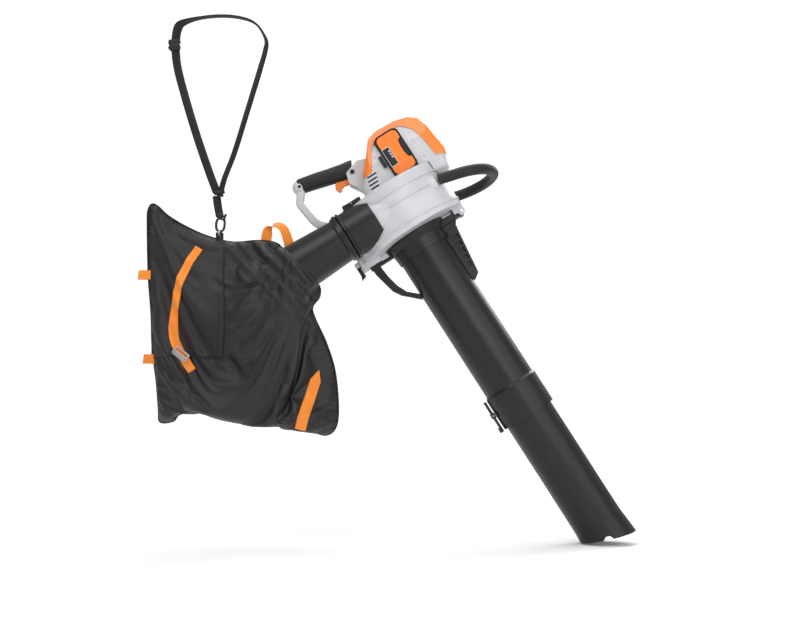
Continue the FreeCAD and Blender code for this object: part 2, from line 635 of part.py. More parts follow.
CATCH = "-(socket_radius + 6.5)"
catch_ears = [box("9", "4", "12", x=f"{CATCH} - 4", y=low, z="-socket_top - 42") for low in (-15, 11)]
catch_way = cylinder("1.5", "30", x=CATCH, y=-15, z="-socket_top - 36", axis=V(0, 1, 0))
socket_bulk = cylinder("socket_radius", "200", z="-socket_top - 100")
node("catch_bracket", cut(fuse(*catch_ears), catch_way, socket_bulk))
node("catch_pin", cylinder("1.5", "30", x=CATCH, y=-15, z="-socket_top - 36", axis=V(0, 1, 0)))
catch = plate("catch_blade", [
    (f"{CATCH} - 2.5", "-socket_top"), (f"{CATCH} + 3", "-socket_top"),
    (f"{CATCH} + 3", "-socket_end - 2"), (f"{CATCH} - 6", "-socket_end - 2"),
    (f"{CATCH} - 6", "-socket_end + 8"), (f"{CATCH} - 2.5", "-socket_end + 10")], "20", None)
node("nozzle_catch", cut(catch, cylinder("1.5 + shaft_gap", "40", x=CATCH, y=-20, z="-socket_top - 36",
                                         axis=V(0, 1, 0))))

LOCK = ("-(foot_rear + 6)", "volute_floor + 8")
lock_ears = [box("11", "4", "12", x=f"{LOCK[0]} - 5", y=low, z=f"{LOCK[1]} - 6") for low in (-14, 16)]
lock_way = cylinder("2", "34", x=LOCK[0], y=-14, z=LOCK[1], axis=V(0, 1, 0))
node("lock_bracket", cut(fuse(*lock_ears), lock_way))
node("lock_pin", cylinder("2", "34", x=LOCK[0], y=-14, z=LOCK[1], axis=V(0, 1, 0)))
lock = plate("lock_blade", [
    (f"{LOCK[0]} - 5", f"{LOCK[1]} + 6"), (f"{LOCK[0]} + 4", f"{LOCK[1]} + 6"),
    (f"{LOCK[0]} + 4", f"{LOCK[1]} - 30"), (f"{LOCK[0]} - 9", f"{LOCK[1]} - 34"),
    (f"{LOCK[0]} - 5", f"{LOCK[1]} - 24")], "24", None)
lock.setExpression(".Placement.Base.y", "3")
node("tube_lock", cut(lock, cylinder("2 + shaft_gap", "60", x=LOCK[0], y=-30, z=LOCK[1], axis=V(0, 1, 0))))


# Bag and straps, in the row frame.
BAG_MIDDLE = -value("volute_radius - outlet_radius") + 21
BAG_LEVELS = [   # height, rear end, front end, share of the half depth
    (-598, -30, 12, 0.20), (-572, -330, 24, 0.50), (-515, -381, 31, 0.85), (-440, -390, 20, 1.0),
    (-360, -398, -10, 1.0), (-290, -403, -30, 0.95), (-215, -407, -70, 0.85), (-165, -409, -170, 0.66),
    (-120, -410, -318, 0.40), (-72, -408, -380, 0.18)]


def flat_oval(height, rear, front, depth):
    centre = V((rear + front) / 2, BAG_MIDDLE, height)
    half = (front - rear) / 2
    major, minor = (half, depth) if half > depth else (depth, half)
    oval = Part.Ellipse(V(0, 0, 0), major, minor).toShape()
    turn = 0 if half > depth else 90
    oval.Placement = FreeCAD.Placement(centre, FreeCAD.Rotation(V(0, 0, 1), turn))
    return Part.Wire([oval])


def bag_shape():
    half = value("bag_half_depth")
    rings = [flat_oval(z, rear, front, share * half) for z, rear, front, share in BAG_LEVELS]
    bag = Part.makeLoft(rings, True, True)
    room = Part.makeCylinder(value("chute_end_radius + cuff_thickness + bag_gap"), 400)
    mouth = chute_place * FreeCAD.Placement(V(0, 0, value("chute_length") - 400 + 1), FreeCAD.Rotation())
    room.Placement = mouth
    return bag.cut(room)


bag = bag_shape()
shaped("collecting_bag", bag, WORLD)
turned("bag_cuff", [
    ("chute_end_radius + 0.1", "chute_length - 22"),
    ("chute_end_radius + cuff_thickness", "chute_length - 22"),
    ("chute_end_radius + cuff_thickness", "chute_length"),
    ("chute_end_radius + 0.1", "chute_length")], chute_place)


def band(points, radii, width, thickness, y):
    """A strap along a path in the XZ plane, its width across the path or along Y as given."""
    shifted = [V(x, y, z) for x, z in points]
    path = rounded_path(shifted, radii)
    along = (shifted[1] - shifted[0]).normalize()
    across = V(0, 1, 0).cross(along)
    corners = [shifted[0] + across * (a * thickness / 2) + V(0, b * width / 2, 0)
               for a, b in ((1, 1), (-1, 1), (-1, -1), (1, -1))]
    section = Part.makePolygon(corners + corners[:1])
    return swept(path, section)


SHOULDER = [(-249, -47), (-350, 292), (-343, 340), (-292, 350),
            (-190, 346), (-146, 318), (-141, 285), (-246, -46)]
strand = value("strap_width")
left = band(SHOULDER[:1] + SHOULDER[1:4] + [(-265, 350)], [30, 24, 60], strand, strand, BAG_MIDDLE)
right = band([(-265, 350)] + SHOULDER[4:], [60, 24, 30], strand, strand, BAG_MIDDLE)
shaped("shoulder_strap", left.fuse(right), WORLD)
shaped("strap_buckle", Part.makeBox(26, 10, 31, V(-260, BAG_MIDDLE - 5, -82)), WORLD)
hook_eye = Part.makeTorus(11, 2.5, V(-247, BAG_MIDDLE, -96), V(0, 1, 0))
shaped("snap_hook", hook_eye, WORLD)
shaped("strap_tab", Part.makeBox(20, 4, 56, V(-257, BAG_MIDDLE - 2, -166)).cut(bag), WORLD)
carry = band([(-155, -206), (-147, -118), (-114, -118), (-104, -216)], [12, 12], value("band_width"),
             value("band_thickness"), BAG_MIDDLE)
shaped("carry_loop", carry.cut(bag), WORLD)
tabs = [Part.makeBox(56, value("band_width"), value("band_thickness"),
                     V(-427, BAG_MIDDLE - value("band_width") / 2, z)) for z in (-232, -410)]
shaped("side_tabs", Part.makeCompound([tab.cut(bag) for tab in tabs]), WORLD)

doc.recompute()
for thing in doc.Objects:
    if {"Invalid", "Error"} & set(thing.State):
        raise RuntimeError(f"{thing.Name} failed: {thing.State}")
for thing in NODES:
    if thing.Shape.isNull() or not thing.Shape.isValid():
        raise RuntimeError(f"{thing.Label} has no sound shape")
os.makedirs("parts", exist_ok=True)
for thing in NODES:
    thing.Shape.exportStep(f"parts/{thing.Label}.step")
print(len(NODES), "sub-parts")
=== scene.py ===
import json
import math

import bmesh
import bpy
from mathutils import Matrix, Vector, geometry, noise
from mathutils.bvhtree import BVHTree


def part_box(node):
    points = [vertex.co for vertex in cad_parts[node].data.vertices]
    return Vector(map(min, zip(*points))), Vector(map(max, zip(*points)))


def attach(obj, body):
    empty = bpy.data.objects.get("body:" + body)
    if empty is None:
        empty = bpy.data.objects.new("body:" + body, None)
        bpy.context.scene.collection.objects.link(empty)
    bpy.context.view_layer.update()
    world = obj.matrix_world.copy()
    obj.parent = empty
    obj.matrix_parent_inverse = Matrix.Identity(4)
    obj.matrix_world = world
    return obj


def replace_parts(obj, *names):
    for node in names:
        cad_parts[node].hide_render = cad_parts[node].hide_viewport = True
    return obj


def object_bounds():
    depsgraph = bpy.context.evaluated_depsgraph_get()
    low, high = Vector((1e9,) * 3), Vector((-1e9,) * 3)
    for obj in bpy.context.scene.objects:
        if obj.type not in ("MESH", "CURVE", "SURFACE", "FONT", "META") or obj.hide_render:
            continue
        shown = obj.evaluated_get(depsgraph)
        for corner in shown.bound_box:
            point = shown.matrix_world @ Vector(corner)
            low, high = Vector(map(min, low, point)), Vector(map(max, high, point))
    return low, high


# Leaf vacuum mulcher, in metres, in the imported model's frame: +X ahead, +Z up, +Y away from the
# camera, and the origin in the middle of the rear grip.

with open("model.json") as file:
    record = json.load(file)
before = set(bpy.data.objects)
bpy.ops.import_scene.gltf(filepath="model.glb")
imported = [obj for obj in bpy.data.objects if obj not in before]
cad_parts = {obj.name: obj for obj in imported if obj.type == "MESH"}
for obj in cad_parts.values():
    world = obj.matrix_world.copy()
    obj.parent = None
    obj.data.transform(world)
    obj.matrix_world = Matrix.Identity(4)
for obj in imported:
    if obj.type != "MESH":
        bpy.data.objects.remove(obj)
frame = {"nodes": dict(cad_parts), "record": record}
cad_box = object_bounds()
MM = 0.001

MOUTH = next(mount for mount in frame["record"]["mounts"] if mount["name"] == "intake_mouth")
TUBE_DOWN = Vector(MOUTH["axis"]).normalized()
TUBE_UP = -TUBE_DOWN
AHEAD = Vector((TUBE_UP.z, 0, -TUBE_UP.x))
MOUTH_DROP = 0.7  # from the machine's own origin down the tube's axis to the intake's mouth
MACHINE_ORIGIN = Vector(MOUTH["pos_m"]) + TUBE_UP * MOUTH_DROP


def mm(x, y, z):
    """A point or a step given in millimetres."""
    return Vector((x, y, z)) * MM


def machine(u, y, w):
    """A point given ahead of, beside and up the suction tube's axis."""
    return MACHINE_ORIGIN + AHEAD * u + Vector((0, y, 0)) + TUBE_UP * w


# ---------------------------------------------------------------- materials
class Nodes:
    """A short way to write a material's nodes."""

    def __init__(self, name):
        self.material = bpy.data.materials.new(name)
        self.material.use_nodes = True
        self.tree = self.material.node_tree
        self.shader = self.tree.nodes["Principled BSDF"]
        self.coordinates = self.add("ShaderNodeTexCoord").outputs["Object"]

    def add(self, kind, **settings):
        node = self.tree.nodes.new(kind)
        for key, value in settings.items():
            setattr(node, key, value)
        return node

    def link(self, source, target):
        self.tree.links.new(source, target)

    def mapped(self, scale=(1, 1, 1), rotation=(0, 0, 0)):
        node = self.add("ShaderNodeMapping")
        node.inputs["Scale"].default_value = scale
        node.inputs["Rotation"].default_value = rotation
        self.link(self.coordinates, node.inputs["Vector"])
        return node.outputs["Vector"]

    def noise(self, scale, detail=3.0, roughness=0.5, vector=None):
        node = self.add("ShaderNodeTexNoise")
        node.inputs["Scale"].default_value = scale
        node.inputs["Detail"].default_value = detail
        node.inputs["Roughness"].default_value = roughness
        self.link(vector or self.coordinates, node.inputs["Vector"])
        return node.outputs["Fac"]

    def wave(self, scale, direction, distortion):
        node = self.add("ShaderNodeTexWave", bands_direction=direction)
        node.inputs["Scale"].default_value = scale
        node.inputs["Distortion"].default_value = distortion
        self.link(self.coordinates, node.inputs["Vector"])
        return node.outputs["Fac"]

    def math(self, operation, a, b):
        node = self.add("ShaderNodeMath", operation=operation)
        for socket, value in zip(node.inputs, (a, b)):
            if isinstance(value, (int, float)):
                socket.default_value = value
            else:
                self.link(value, socket)
        return node.outputs[0]

    def ramp(self, source, *stops):
        """A colour ramp: stops are (position, colour)."""
        node = self.add("ShaderNodeValToRGB")
        elements = node.color_ramp.elements
        while len(elements) < len(stops):
            elements.new(0.5)
        for element, (position, colour) in zip(elements, stops):
            element.position = position
            element.color = (*colour, 1)
        self.link(source, node.inputs["Fac"])
        return node.outputs["Color"]

    def spread(self, source, low, high):
        """The source's 0 to 1 mapped to low to high."""
        node = self.add("ShaderNodeMapRange")
        node.inputs["To Min"].default_value = low
        node.inputs["To Max"].default_value = high
        self.link(source, node.inputs["Value"])
        return node.outputs["Result"]

    def bump(self, height, strength, distance):
        node = self.add("ShaderNodeBump")
        node.inputs["Strength"].default_value = strength
        node.inputs["Distance"].default_value = distance
        self.link(height, node.inputs["Height"])
        if self.shader.inputs["Normal"].links:
            self.link(self.shader.inputs["Normal"].links[0].from_socket, node.inputs["Normal"])
        self.link(node.outputs["Normal"], self.shader.inputs["Normal"])

    def edge_wear(self, base, worn, amount):
        """Lightens convex edges a little, broken up by noise."""
        geometry = self.add("ShaderNodeNewGeometry").outputs["Pointiness"]
        edges = self.ramp(geometry, (0.51, (0, 0, 0)), (0.58, (1, 1, 1)))
        broken = self.math("MULTIPLY", edges, self.noise(60, 4))
        mix = self.add("ShaderNodeMix", data_type="RGBA")
        self.link(self.math("MULTIPLY", broken, amount), mix.inputs["Factor"])
        self.link(base, mix.inputs["A"])
        mix.inputs["B"].default_value = (*worn, 1)
        return mix.outputs["Result"]


def scaled(colour, factor):
    """The colour made lighter or darker."""
    return tuple(min(1.0, channel * factor) for channel in colour)


def moulded(name, colour, roughness, grain=0.00006, grain_scale=1800, sheen_spread=0.08, wear=0.0,
            coat=0.0, specular=0.5):
    """Moulded plastic: faint colour clouding, fine spark-eroded grain and slow roughness drift."""
    made = Nodes(name)
    clouds = made.noise(9, 4, 0.6)
    tint = made.ramp(clouds, (0.3, scaled(colour, 0.90)), (0.7, scaled(colour, 1.08)))
    if wear:
        tint = made.edge_wear(tint, scaled(colour, 2.2), wear)
    made.link(tint, made.shader.inputs["Base Color"])
    streaks = made.noise(34, 5, 0.65, made.mapped((1, 1, 0.25), (0, math.radians(32), 0)))
    made.link(made.spread(streaks, roughness - sheen_spread, roughness + sheen_spread),
              made.shader.inputs["Roughness"])
    made.shader.inputs["Coat Weight"].default_value = coat
    made.shader.inputs["Coat Roughness"].default_value = 0.2
    made.shader.inputs["Specular IOR Level"].default_value = specular
    made.bump(made.noise(grain_scale, 2), 0.35, grain)
    made.bump(made.noise(14, 2), 0.12, 0.0006)
    return made.material


def steel(name, colour, roughness):
    """Bare metal, brushed along one way."""
    made = Nodes(name)
    made.shader.inputs["Metallic"].default_value = 1.0
    brushing = made.noise(260, 4, 0.7, made.mapped((1, 1, 12)))
    made.link(made.ramp(brushing, (0.3, scaled(colour, 0.8)), (0.7, scaled(colour, 1.1))),
              made.shader.inputs["Base Color"])
    made.link(made.spread(brushing, roughness - 0.08, roughness + 0.1), made.shader.inputs["Roughness"])
    made.bump(brushing, 0.2, 0.0001)
    return made.material


def foam_rubber(name, colour):
    """Soft rubber with fine open pores."""
    made = Nodes(name)
    pores = made.noise(900, 3, 0.7)
    made.link(made.ramp(made.noise(22, 4), (0.3, scaled(colour, 0.8)), (0.75, scaled(colour, 1.35))),
              made.shader.inputs["Base Color"])
    made.link(made.spread(pores, 0.42, 0.6), made.shader.inputs["Roughness"])
    made.shader.inputs["Sheen Weight"].default_value = 0.04
    made.shader.inputs["Specular IOR Level"].default_value = 0.35
    made.bump(pores, 0.5, 0.00018)
    return made.material


def woven(name, colour, pitch, roughness=0.75, sheen=0.3, clouding=0.12, coating=0.0, specular=0.5):
    """Cloth: warp and weft crossing at a pitch, crumple and slow fading."""
    made = Nodes(name)
    thread_scale = 0.5 / pitch / math.pi
    warp = made.wave(thread_scale, "X", 0.4)
    weft = made.wave(thread_scale, "Z", 0.4)
    threads = made.math("MULTIPLY", warp, weft)
    fade = made.noise(5.5, 5, 0.62)
    tint = made.ramp(fade, (0.3, scaled(colour, 1 - clouding)), (0.72, scaled(colour, 1 + 2 * clouding)))
    made.link(tint, made.shader.inputs["Base Color"])
    made.link(made.spread(made.noise(18, 4, 0.6), roughness - 0.1, roughness + 0.08),
              made.shader.inputs["Roughness"])
    made.shader.inputs["Sheen Weight"].default_value = sheen
    made.shader.inputs["Sheen Roughness"].default_value = 0.5
    made.shader.inputs["Coat Weight"].default_value = coating
    made.shader.inputs["Coat Roughness"].default_value = 0.45
    made.shader.inputs["Specular IOR Level"].default_value = specular
    made.bump(threads, 0.5, pitch * 0.25)
    made.bump(made.noise(38, 5, 0.6), 0.35, 0.0012)
    return made.material


HOUSING_GREY = (0.56, 0.565, 0.58)
ORANGE = (0.90, 0.21, 0.018)
BLACK = (0.011, 0.0105, 0.0115)
housing = moulded("housing_grey", HOUSING_GREY, 0.36, coat=0.12)
cover = moulded("cover_orange", ORANGE, 0.33, coat=0.2)
black = moulded("tube_black", BLACK, 0.34, grain=0.0001, grain_scale=1200, sheen_spread=0.06, wear=0.35,
                specular=0.34)
dark = moulded("dark_plastic", (0.016, 0.0155, 0.017), 0.45, wear=0.2, specular=0.3)
grip_rubber = foam_rubber("grip_rubber", (0.010, 0.0095, 0.010))
handle_foam = foam_rubber("handle_foam", (0.011, 0.0105, 0.0115))
bag_cloth = woven("bag_cloth", (0.0098, 0.0087, 0.0096), 0.0006, 0.54, 0.04, 0.22, 0.06, 0.42)
webbing = woven("black_webbing", (0.012, 0.0115, 0.0125), 0.0011, 0.72, 0.08, specular=0.3)
orange_webbing = woven("orange_webbing", (0.90, 0.24, 0.016), 0.0011, 0.66, 0.15)
bright_steel = steel("bright_steel", (0.62, 0.62, 0.64), 0.3)
cast_alloy = steel("cast_alloy", (0.5, 0.5, 0.52), 0.45)
motor_paint = steel("motor_paint", (0.12, 0.12, 0.13), 0.4)
circuit_green = moulded("circuit_green", (0.02, 0.16, 0.06), 0.4)

CAD_MATERIALS = {
    housing: ["fan_housing_top", "fan_housing_base", "casing_near", "casing_far", "lock_bracket"],
    cover: ["top_cover", "trigger", "battery_cap"],
    black: ["outlet_collar", "discharge_chute", "latch_bracket", "outlet_latch", "tube_adaptor",
            "suction_tube", "nozzle_tube", "tube_rail", "loop_guard", "catch_bracket", "nozzle_catch",
            "tube_lock", "battery_case"],
    dark: ["battery_well", "battery_release", "switch_module", "lock_button", "strap_buckle",
           "snap_hook"],
    grip_rubber: ["grip_sleeve"],
    handle_foam: ["loop_handle"],
    bright_steel: ["hinge_pin", "motor_shaft", "fan_nut", "shredder_blade", "blade_washer",
                   "shaft_bearing", "casing_screws", "trigger_pin", "latch_pin", "catch_pin",
                   "lock_pin"],
    cast_alloy: ["fan_wheel", "blade_spacer"],
    motor_paint: ["motor"],
    circuit_green: ["control_board"],
    bag_cloth: ["collecting_bag"],
    webbing: ["shoulder_strap", "strap_tab", "bag_cuff"],
    orange_webbing: ["carry_loop", "side_tabs"],
}
for material, names in CAD_MATERIALS.items():
    for name in names:
        slots = frame["nodes"][name].data.materials
        slots.clear()
        slots.append(material)


# ---------------------------------------------------------------- shared makers
SPACING = 5 * MM


def smooth_path(points, steps=8, closed=False):
    """A Catmull-Rom curve through the points."""
    count = len(points)
    spans = count if closed else count - 1
    made = []
    for i in range(spans):
        if closed:
            a, b, c, d = (points[(i + k) % count] for k in (-1, 0, 1, 2))
        else:
            a, b, c, d = (points[min(max(i + k, 0), count - 1)] for k in (-1, 0, 1, 2))
        for s in range(steps):
            t = s / steps
            made.append(b + (c - a) * (t / 2) + (a * 2 - b * 5 + c * 4 - d) * (t * t / 2)
                        + (b * 3 - a - c * 3 + d) * (t * t * t / 2))
    return made if closed else made + [points[-1].copy()]


def evenly(path, gap):
    """The same path with its points a gap apart."""
    lengths = [0.0]
    for a, b in zip(path, path[1:]):
        lengths.append(lengths[-1] + (b - a).length)
    count = max(2, round(lengths[-1] / gap) + 1)
    made = []
    span = 0
    for i in range(count):
        target = lengths[-1] * i / (count - 1)
        while span < len(path) - 2 and lengths[span + 1] < target:
            span += 1
        width = lengths[span + 1] - lengths[span]
        made.append(path[span].lerp(path[span + 1], (target - lengths[span]) / width if width else 0))
    return made


def finished(mesh, name, material, body="machine", bevel=0.0):
    """Turns a bmesh into a smooth piece that rides on a body."""
    data = bpy.data.meshes.new(name)
    bmesh.ops.recalc_face_normals(mesh, faces=mesh.faces)
    mesh.to_mesh(data)
    mesh.free()
    data.materials.append(material)
    for polygon in data.polygons:
        polygon.use_smooth = True
    obj = bpy.data.objects.new(name, data)
    bpy.context.scene.collection.objects.link(obj)
    if bevel:
        rounding = obj.modifiers.new("rounding", "BEVEL")
        rounding.width = bevel
        rounding.segments = 3
        rounding.limit_method = "ANGLE"
        rounding.harden_normals = True
    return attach(obj, body)


def skin(mesh, rings, closed_rings=True, caps=True):
    """Faces between successive rings of points."""
    rows = [[mesh.verts.new(point) for point in row] for row in rings]
    count = len(rows[0])
    last = count if closed_rings else count - 1
    for low, high in zip(rows, rows[1:]):
        for i in range(last):
            j = (i + 1) % count
            mesh.faces.new((low[i], low[j], high[j], high[i]))
    if caps and closed_rings:
        mesh.faces.new(rows[0])
        mesh.faces.new(rows[-1])


def band(name, path, across, width, thickness, material):
    """Woven band along a path. across gives the way its width lies at each point."""
    mesh = bmesh.new()
    rings = []
    for i, point in enumerate(path):
        tangent = (path[min(i + 1, len(path) - 1)] - path[max(i - 1, 0)]).normalized()
        side = (across[i] - tangent * across[i].dot(tangent)).normalized()
        up = tangent.cross(side)
        half, thin, nip = width / 2, thickness / 2, thickness * 0.8
        section = [(-half, 0.2), (-half + nip, 1), (0, 0.75), (half - nip, 1), (half, 0.2),
                   (half, -0.2), (half - nip, -1), (0, -0.75), (-half + nip, -1), (-half, -0.2)]
        rings.append([point + side * a + up * (b * thin) for a, b in section])
    skin(mesh, rings)
    return finished(mesh, name, material)


def tube(name, path, radius, material, body="machine", sides=10, closed=False):
    """A round cord or wire along a path."""
    mesh = bmesh.new()
    rings = []
    side = (path[1] - path[0]).orthogonal()
    for i, point in enumerate(path):
        before = path[i - 1] if closed or i else path[0]
        after = path[(i + 1) % len(path)] if closed or i < len(path) - 1 else path[-1]
        tangent = (after - before).normalized()
        side = (side - tangent * side.dot(tangent)).normalized()
        up = tangent.cross(side)
        rings.append([point + (side * math.cos(a) + up * math.sin(a)) * radius
                      for a in (2 * math.pi * k / sides for k in range(sides))])
    if closed:
        rings.append(rings[0])
    skin(mesh, rings, caps=not closed)
    bmesh.ops.remove_doubles(mesh, verts=mesh.verts, dist=radius * 0.05)
    return finished(mesh, name, material, body)


def block(name, centre, size, material, turn, bevel):
    """A rounded block, turned about Y."""
    mesh = bmesh.new()
    bmesh.ops.create_cube(mesh, size=1)
    rotation = Matrix.Rotation(turn, 4, "Y")
    for vert in mesh.verts:
        local = Vector([c * s for c, s in zip(vert.co, size)])
        vert.co = rotation @ local + Vector(centre)
    return finished(mesh, name, material, bevel=bevel)


# ---------------------------------------------------------------- collecting bag
# Its side view, in millimetres ahead of and above the rear grip, from the mouth's upper end round by
# the rear corner and the hem to the mouth's lower end.
BAG_OUTLINE = [
    (-92, -179), (-112, -168), (-150, -164), (-205, -166), (-262, -152), (-310, -131), (-352, -106),
    (-374, -86), (-389, -78), (-399, -92), (-400, -130), (-396, -240), (-388, -330), (-384, -410),
    (-374, -480), (-368, -545), (-364, -571), (-334, -569), (-318, -553), (-262, -545), (-190, -554),
    (-105, -568), (-28, -591), (8, -600), (30, -580), (34, -530), (26, -455), (6, -392),
    (-18, -340), (-24, -314), (-8, -292), (-6, -267)]
SIDE_VIEW = [mm(x, 0, z) for x, z in BAG_OUTLINE]
MOUTH_TOP = SIDE_VIEW[0]
MOUTH_LOW = SIDE_VIEW[-1]
MOUTH_MIDDLE = (MOUTH_TOP + MOUTH_LOW) / 2
MOUTH_LINE = (MOUTH_LOW - MOUTH_TOP).normalized()
MOUTH_HALF = (MOUTH_LOW - MOUTH_TOP).length / 2
INTO_BAG = Vector((MOUTH_LINE.z, 0, -MOUTH_LINE.x))
BAG_MIDDLE = -62 * MM
CHUTE_MIDDLE = -81 * MM
BAG_HALF_DEPTH = 80 * MM
EDGE_ROUND = 92 * MM
SLEEVE_LENGTH = 95 * MM
FOLD_ROOT = mm(-35, 0, -300)
PANEL_SEAM = -220 * MM
FLAP_SEAM = -428 * MM
PUCKER = mm(-196, 0, -448)
PUCKER_LEAN = (0.78, 0.62)
PUCKER_HALF_WIDTH = 11 * MM
PUCKER_HALF_LENGTH = 24 * MM
PUCKER_DEPTH = 16 * MM
NEAR_SEED = 3.1
FAR_SEED = 17.9
FAN_RAYS = 17
GATHER_PITCH = 25 * MM
SETTLE_FRAMES = 26


def eased(low, high, value):
    """An eased step, from 0 at low to 1 at high."""
    t = min(1.0, max(0.0, (value - low) / (high - low)))
    return t * t * (3 - 2 * t)


def ridges(point, scale, seed, octaves=3):
    """Sharp-crested noise, from 0 to 1, as crumpled cloth has."""
    total = 0.0
    share = 0.5
    for _ in range(octaves):
        total += share * (1 - abs(noise.noise(point * scale + Vector((seed, seed * 1.7, -seed)))) * 2)
        scale *= 2.1
        share *= 0.5
    return total


def gathered(point, seed, inward):
    """The fan of folds below the mouth and the bunched rings round it, each from 0 to 1."""
    offset = point - FOLD_ROOT
    reach = offset.length
    angle = math.atan2(offset.z, offset.x)
    wander = noise.noise(point * 9 + Vector((seed, 0, 0)))
    fan = 0.5 + 0.5 * math.sin(angle * FAN_RAYS + wander * 3.2 + reach * 9)
    fan = fan ** 2.2 * eased(0.06, 0.14, reach) * (1 - eased(0.17, 0.34, reach))
    fan *= eased(PANEL_SEAM - 0.01, PANEL_SEAM + 0.05, point.x)
    gathers = math.sin(inward * 2 * math.pi / GATHER_PITCH + 1.3 * wander + point.z * 9)
    gathers = (0.5 + 0.5 * gathers) ** 1.8 * eased(0.0, 0.012, inward)
    gathers *= 1 - eased(0.045, 0.13, inward)
    return fan, gathers


def folds(point, side, inward):
    """How far the cloth stands out of its smooth shape at a point of the side view."""
    seed = NEAR_SEED if side < 0 else FAR_SEED
    fan, gathers = gathered(point, seed, inward)
    swell = noise.noise(point * 8.5 + Vector((0, seed, 0)))
    crumple = ridges(point, 11, seed) - 0.5
    upright = noise.noise(Vector((point.x * 22, seed, point.z * 4.5)))
    return 9.5 * MM * fan + 8.5 * MM * gathers + 8 * MM * swell + 4.5 * MM * crumple + 3.5 * MM * upright


def to_segment(point, a, b):
    """How far a point is from the stretch between two others."""
    along = b - a
    t = min(1.0, max(0.0, (point - a).dot(along) / along.length_squared))
    return (point - a - along * t).length


def inside(point, loop):
    """Whether a point of the side view lies in the closed loop."""
    crossings = 0
    for a, b in zip(loop, loop[1:] + loop[:1]):
        if (a.z > point.z) != (b.z > point.z):
            if point.x < a.x + (b.x - a.x) * (point.z - a.z) / (b.z - a.z):
                crossings += 1
    return crossings % 2 == 1


def bag_half(point, edge):
    """Half the bag's thickness at a point, its middle there, and how far in the point lies from the
    mouth and from the outline."""
    distance = min(to_segment(point, a, b) for a, b in edge)
    inward = (point - MOUTH_MIDDLE).dot(INTO_BAG)
    across = (point - MOUTH_MIDDLE).dot(MOUTH_LINE)
    grown = min(1.0, distance / EDGE_ROUND)
    body = BAG_HALF_DEPTH * (1 - (1 - grown) ** 2) ** 0.72
    sleeve = math.sqrt(max(0.0, MOUTH_HALF ** 2 - across ** 2))
    share = eased(0.0, SLEEVE_LENGTH, inward)
    middle = CHUTE_MIDDLE + (BAG_MIDDLE - CHUTE_MIDDLE) * share
    half = sleeve * (1 - share) + body * share
    return half, middle, inward, distance


def bag_shell():
    """The bag as one shell, open at its mouth: two sides that meet at the outline."""
    outline = evenly(smooth_path(SIDE_VIEW), SPACING)
    edge = list(zip(outline[::3], outline[3::3] + [outline[-1]]))
    mouth = evenly([MOUTH_LOW, MOUTH_TOP], SPACING)[1:-1]
    loop = outline + mouth
    low = Vector((min(p.x for p in loop), 0, min(p.z for p in loop)))
    high = Vector((max(p.x for p in loop), 0, max(p.z for p in loop)))
    segments = list(zip(loop, loop[1:] + loop[:1]))[::2]
    points = list(loop)
    row = 0
    z = low.z
    while z < high.z:
        x = low.x + (row % 2) * SPACING / 2
        while x < high.x:
            point = Vector((x, 0, z))
            if inside(point, loop) and min(to_segment(point, a, b) for a, b in segments) > SPACING * 0.6:
                points.append(point)
            x += SPACING
        z += SPACING * 0.866
        row += 1
    ring = [(i, (i + 1) % len(loop)) for i in range(len(loop))]
    flat = [Vector((p.x, p.z)) for p in points]
    spots, _, faces, _, _, _ = geometry.delaunay_2d_cdt(flat, ring, [], 1, 1e-6)
    shared = len(outline)
    mesh = bmesh.new()
    sides = {-1: [], 1: []}
    rim = set()
    for number, spot in enumerate(spots):
        point = Vector((spot.x, 0, spot.y))
        half, middle, inward, distance = bag_half(point, edge)
        if number < shared:
            vert = mesh.verts.new((point.x, middle, point.z))
            sides[-1].append(vert)
            sides[1].append(vert)
            rim.add(vert)
            continue
        for side in sides:
            lift = folds(point, side, inward) * eased(0.0, 0.035, distance)
            sides[side].append(mesh.verts.new((point.x, middle + side * (half + lift), point.z)))
    for side, verts in sides.items():
        for face in faces:
            corners = [verts[i] for i in face]
            if len(set(corners)) == 3:
                mesh.faces.new(corners if side < 0 else corners[::-1])
    crease = mesh.edges.layers.float.new("crease_edge")
    for edge in mesh.edges:
        if all(vert in rim for vert in edge.verts):
            edge[crease] = 1.0
    return mesh, outline


def settle(obj, held, frames):
    """Lets the cloth slacken and sag with its outline held, then keeps the result."""
    group = obj.vertex_groups.new(name="held")
    group.add(held, 1.0, "REPLACE")
    cloth = obj.modifiers.new("cloth", "CLOTH")
    cloth.settings.quality = 6
    cloth.settings.mass = 0.25
    cloth.settings.tension_stiffness = 25
    cloth.settings.compression_stiffness = 12
    cloth.settings.shear_stiffness = 8
    cloth.settings.bending_stiffness = 0.6
    cloth.settings.vertex_group_mass = "held"
    cloth.settings.shrink_min = -0.035
    cloth.settings.shrink_max = -0.035
    cloth.settings.use_pressure = True
    cloth.settings.uniform_pressure_force = 2.2
    cloth.collision_settings.use_collision = False
    cloth.point_cache.frame_end = frames
    for frame_number in range(1, frames + 1):
        bpy.context.scene.frame_set(frame_number)
    graph = bpy.context.evaluated_depsgraph_get()
    settled = bpy.data.meshes.new_from_object(obj.evaluated_get(graph))
    obj.modifiers.remove(cloth)
    obj.data = settled
    bpy.context.scene.frame_set(1)


